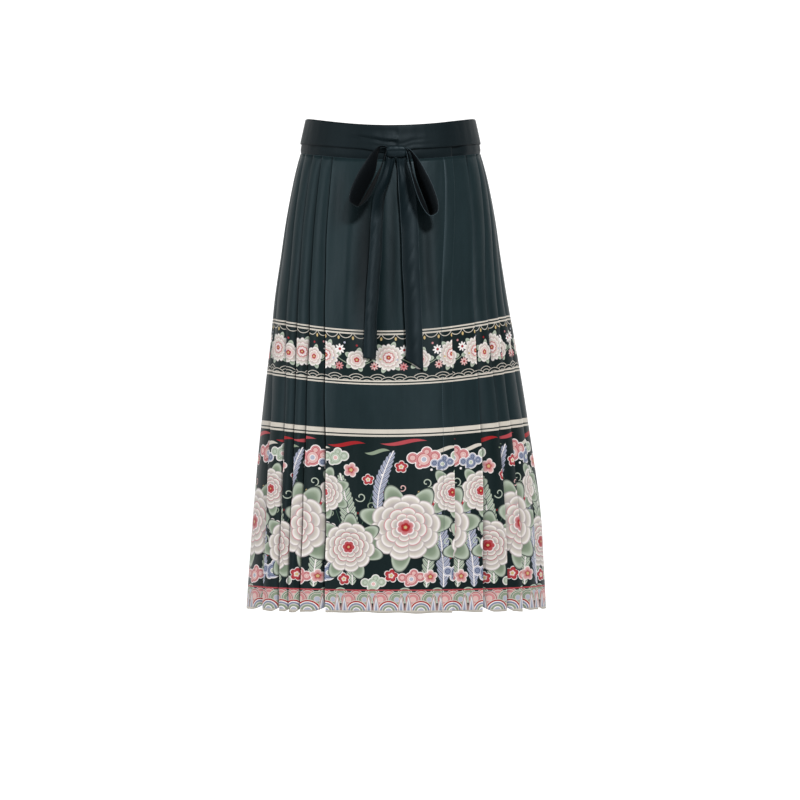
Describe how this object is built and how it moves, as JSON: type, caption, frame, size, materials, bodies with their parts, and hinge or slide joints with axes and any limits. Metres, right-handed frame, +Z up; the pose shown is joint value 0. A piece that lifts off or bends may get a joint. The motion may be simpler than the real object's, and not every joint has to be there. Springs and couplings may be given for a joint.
{
  "type": "horse-face skirt (mamianqun)",
  "caption": "Worn wrap skirt of dark green satin: flat front and back panels, side knife pleats, printed border bands, a waistband and a ribbon tie with a bow.",
  "frame": {"origin": "middle of the waist opening, half way up the waistband at the sides", "axes": "+Z up, -Y out of the front panel, +X to the right of somebody looking at the front"},
  "size_m": [0.4934, 0.3864, 0.8065],
  "materials": {
    "satin": "satin",
    "ribbon": "satin"
  },
  "bodies": {
    "root": {"skirt_left": "satin", "skirt_right": "satin", "waistband": "satin", "tie_wrap": "ribbon", "bow_knot": "ribbon", "bow_loop_left": "ribbon", "bow_loop_right": "ribbon", "bow_tail_left": "ribbon", "bow_tail_right": "ribbon"}
  },
  "joints": []
}
